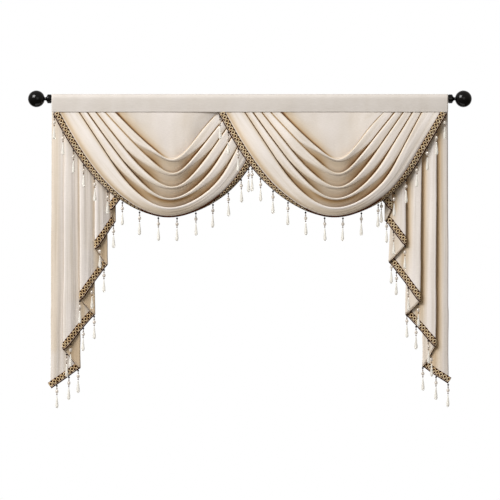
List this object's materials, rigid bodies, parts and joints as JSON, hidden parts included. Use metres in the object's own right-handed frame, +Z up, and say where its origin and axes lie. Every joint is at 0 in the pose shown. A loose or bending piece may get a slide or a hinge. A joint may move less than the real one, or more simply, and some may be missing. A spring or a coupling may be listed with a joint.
{
  "type": "swag and tail drape on a curtain rod",
  "caption": "Cream window valance on a black ball-ended rod: two overlapping draped swags, a pleated tail each side, gold scroll braid and hanging bead drops on the hems.",
  "frame": {"origin": "on the curtain rod's axis, midway along it, where its brackets would hold it", "axes": "+X along the rod to the viewer's right, -Y the front of the drape, +Z up; the drape hangs below the origin"},
  "size_m": [1.4226, 0.0751, 1.0181],
  "materials": {
    "satin": "cream satin-weave polyester with a soft sheen",
    "header_cloth": "the same cream cloth stretched flat over the rod, faint pressing creases",
    "braid": "gold and dark brown scroll gimp braid with strung bead drops",
    "beads": "clear to champagne cut acrylic",
    "rod_black": "gloss black enamel"
  },
  "bodies": {
    "root": {"rod": "rod_black", "finial_left": "rod_black", "finial_right": "rod_black", "header": "header_cloth", "swag_left": "satin", "swag_right": "satin", "tail_left": "satin", "tail_right": "satin", "fringe_swag_left": "braid", "fringe_swag_right": "braid", "fringe_tail_left": "braid", "fringe_tail_right": "braid"}
  },
  "joints": []
}
